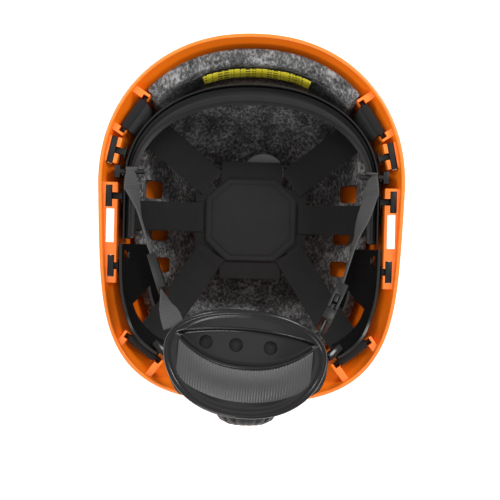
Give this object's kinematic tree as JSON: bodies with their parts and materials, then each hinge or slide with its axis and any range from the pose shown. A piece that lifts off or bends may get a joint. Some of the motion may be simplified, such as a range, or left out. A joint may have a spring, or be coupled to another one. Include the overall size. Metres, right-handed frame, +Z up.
{
  "type": "arborist climbing helmet",
  "caption": "Climbing helmet lying on its crown, open side up, with foam liner, web cradle, ratchet headband and a swinging chin strap with cup.",
  "frame": {"origin": "middle of the flat land on the crown, on which the helmet lies upside down", "axes": "+Z up out of the opening, -Y towards the front of the helmet, +X towards the wearer's right-hand side"},
  "size_m": [0.2334, 0.2908, 0.223],
  "materials": {
    "shell_orange": "moulded satin gloss",
    "liner_foam": "mottled moulded foam",
    "black_plastic": "fine moulded grain",
    "gloss_black": "polished",
    "webbing": "woven",
    "padding": "brushed",
    "grey_plastic": "matt",
    "label": "printed film",
    "steel": "plated"
  },
  "bodies": {
    "helmet": {"shell": "shell_orange", "foam_liner": "liner_foam", "liner_button": "grey_plastic", "headband_strip": "black_plastic", "brow_pad": "padding", "size_label": "label", "crown_pad": "padding", "crown_backing": "webbing", "nape_housing": "black_plastic", "housing_cover": "black_plastic", "nape_pad": "padding", "side_band_left": "gloss_black", "web_side_left": "webbing", "web_rivet_left": "black_plastic", "web_front_left": "webbing", "pin_front_left": "black_plastic", "web_rear_left": "webbing", "pin_rear_left": "black_plastic", "key_front_left": "black_plastic", "key_middle_left": "black_plastic", "key_rear_left": "black_plastic", "strap_anchor_left": "black_plastic", "anchor_rivet_left": "steel", "side_band_right": "gloss_black", "web_side_right": "webbing", "web_rivet_right": "black_plastic", "web_front_right": "webbing", "pin_front_right": "black_plastic", "web_rear_right": "webbing", "pin_rear_right": "black_plastic", "key_front_right": "black_plastic", "key_middle_right": "black_plastic", "key_rear_right": "black_plastic", "strap_anchor_right": "black_plastic", "anchor_rivet_right": "steel"},
    "knob": {"adjuster_knob": "gloss_black", "pinion": "grey_plastic", "knob_screw": "steel"},
    "rack_left_body": {"rack_left": "black_plastic", "rack_lug_left": "gloss_black"},
    "rack_right_body": {"rack_right": "black_plastic", "rack_lug_right": "gloss_black"},
    "chin_strap": {"chin_web_right": "webbing", "chin_web_left": "webbing", "buckle_tongue": "gloss_black", "chin_web_lower": "webbing"},
    "cup": {"chin_cup": "gloss_black", "cup_lining": "padding", "cup_webbing": "webbing"},
    "slider": {"strap_slider": "gloss_black"},
    "socket": {"buckle_socket": "gloss_black"},
    "prong_upper": {"buckle_prong_upper": "gloss_black"},
    "prong_lower": {"buckle_prong_lower": "gloss_black"}
  },
  "joints": [
    {"name": "knob_turn", "type": "hinge", "parent": "helmet", "child": "knob", "pos_m": [0, 0.14, 0.178], "axis": [0, -1, 0], "range_deg": [0, 130]},
    {"name": "rack_right_slide", "type": "slide", "parent": "helmet", "child": "rack_right_body", "axis": [-1, 0, 0], "range_m": [0, 0.0137]},
    {"name": "rack_left_slide", "type": "slide", "parent": "helmet", "child": "rack_left_body", "axis": [1, 0, 0], "range_m": [0, 0.0137]},
    {"name": "chin_strap_swing", "type": "hinge", "parent": "helmet", "child": "chin_strap", "pos_m": [0, -0.033, 0.146], "axis": [1, 0, 0], "range_deg": [0, 75]},
    {"name": "chin_cup_tilt", "type": "hinge", "parent": "chin_strap", "child": "cup", "pos_m": [0, 0.081, 0.204], "axis": [1, 0, 0], "range_deg": [0, 15]},
    {"name": "strap_slider_slide", "type": "slide", "parent": "chin_strap", "child": "slider", "axis": [-0.3226, 0.8431, 0.4302], "range_m": [-0.008, 0.005]},
    {"name": "buckle_release", "type": "slide", "parent": "chin_strap", "child": "socket", "axis": [-0.3931, -0.7861, -0.4769], "range_m": [0, 0.018], "deforming": ["chin_web_left"]},
    {"name": "prong_upper_press", "type": "slide", "parent": "chin_strap", "child": "prong_upper", "axis": [0.1362, 0.4632, -0.8757], "range_m": [0, 0.002], "stiffness_N_per_m": 300},
    {"name": "prong_lower_press", "type": "slide", "parent": "chin_strap", "child": "prong_lower", "axis": [-0.1362, -0.4632, 0.8757], "range_m": [0, 0.002], "stiffness_N_per_m": 300}
  ],
  "couplings": [
    {"joint": "rack_right_slide", "follows": "knob_turn", "m_per_rad": 0.006},
    {"joint": "rack_left_slide", "follows": "knob_turn", "m_per_rad": 0.006}
  ]
}
